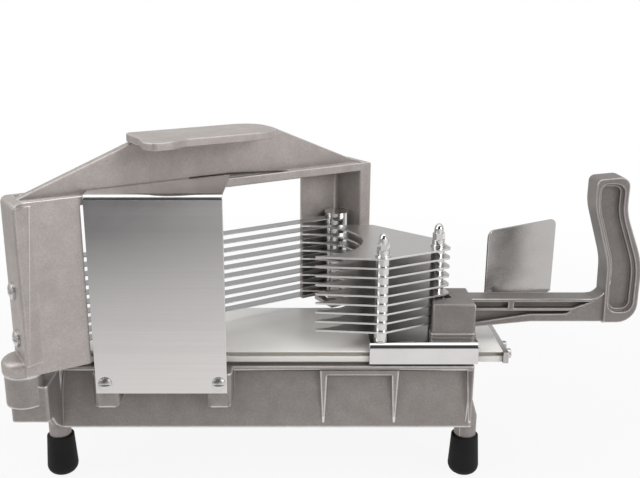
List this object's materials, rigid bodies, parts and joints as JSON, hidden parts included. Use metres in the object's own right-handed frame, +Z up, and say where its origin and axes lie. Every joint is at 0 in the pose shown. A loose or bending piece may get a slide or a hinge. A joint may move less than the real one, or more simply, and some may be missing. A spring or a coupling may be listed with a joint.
{
  "type": "tomato slicer",
  "caption": "Countertop push tomato slicer with a swing-out frame of tensioned blades, a sliding finger-plate pusher and a cast grip.",
  "frame": {"origin": "on the table under the middle of the whole slicer's box", "axes": "+X to the right towards the handle, +Y to the back, +Z up"},
  "size_m": [0.4192, 0.171, 0.2394],
  "materials": {
    "cast_aluminium": "bead-blasted sand casting, satin",
    "stainless_sheet": "fine brushed stainless sheet",
    "polished_steel": "bright polished steel",
    "blade_steel": "ground blade strip",
    "screw_steel": "turned steel fastener",
    "white_plastic": "sawn and planed polyethylene board",
    "black_rubber": "moulded matt rubber",
    "black_plastic": "moulded phenolic, satin"
  },
  "bodies": {
    "base": {"base_casting": "cast_aluminium", "rubber_foot_front_left": "black_rubber", "rubber_foot_front_right": "black_rubber", "rubber_foot_rear_left": "black_rubber", "rubber_foot_rear_right": "black_rubber", "slide_board": "white_plastic", "board_screws": "screw_steel", "front_guard": "stainless_sheet", "guard_screws": "screw_steel", "end_stop": "stainless_sheet", "end_stop_screws": "screw_steel", "pivot_pin": "screw_steel", "pivot_washer": "screw_steel"},
    "pusher": {"carriage_plate": "polished_steel", "slide_strips": "white_plastic", "pusher_casting": "cast_aluminium", "block_screws": "screw_steel", "finger_plate_1": "stainless_sheet", "finger_plate_2": "stainless_sheet", "finger_plate_3": "stainless_sheet", "finger_plate_4": "stainless_sheet", "finger_plate_5": "stainless_sheet", "finger_plate_6": "stainless_sheet", "finger_plate_7": "stainless_sheet", "finger_plate_8": "stainless_sheet", "finger_plate_9": "stainless_sheet", "front_spacers": "polished_steel", "rear_spacers": "polished_steel", "finger_studs": "screw_steel", "stud_collars": "polished_steel", "acorn_nuts": "polished_steel", "hand_guard": "stainless_sheet", "hand_guard_screws": "screw_steel"},
    "blade_frame": {"frame_casting": "cast_aluminium", "lock_tab": "stainless_sheet", "lock_tab_screws": "screw_steel", "fixed_blade_rod": "polished_steel", "tension_blade_rod": "polished_steel", "blade_pins": "screw_steel", "tension_screws": "screw_steel", "fixed_rod_screws": "screw_steel", "blade_1": "blade_steel", "blade_2": "blade_steel", "blade_3": "blade_steel", "blade_4": "blade_steel", "blade_5": "blade_steel", "blade_6": "blade_steel", "blade_7": "blade_steel", "blade_8": "blade_steel", "blade_9": "blade_steel", "blade_10": "blade_steel"},
    "lock_knob": {"lock_knob": "black_plastic", "lock_stud": "screw_steel"}
  },
  "joints": [
    {"name": "pusher_slide", "type": "slide", "parent": "base", "child": "pusher", "axis": [-1, 0, 0], "range_m": [-0.0155, 0.14]},
    {"name": "frame_swing", "type": "hinge", "parent": "base", "child": "blade_frame", "pos_m": [-0.19615, -0.06965, 0.099], "axis": [0, 0, 1], "range_deg": [0, 70]},
    {"name": "lock_turn", "type": "hinge", "parent": "base", "child": "lock_knob", "pos_m": [0.04515, 0.06676, 0.099], "axis": [0, 0, 1], "continuous": true}
  ]
}
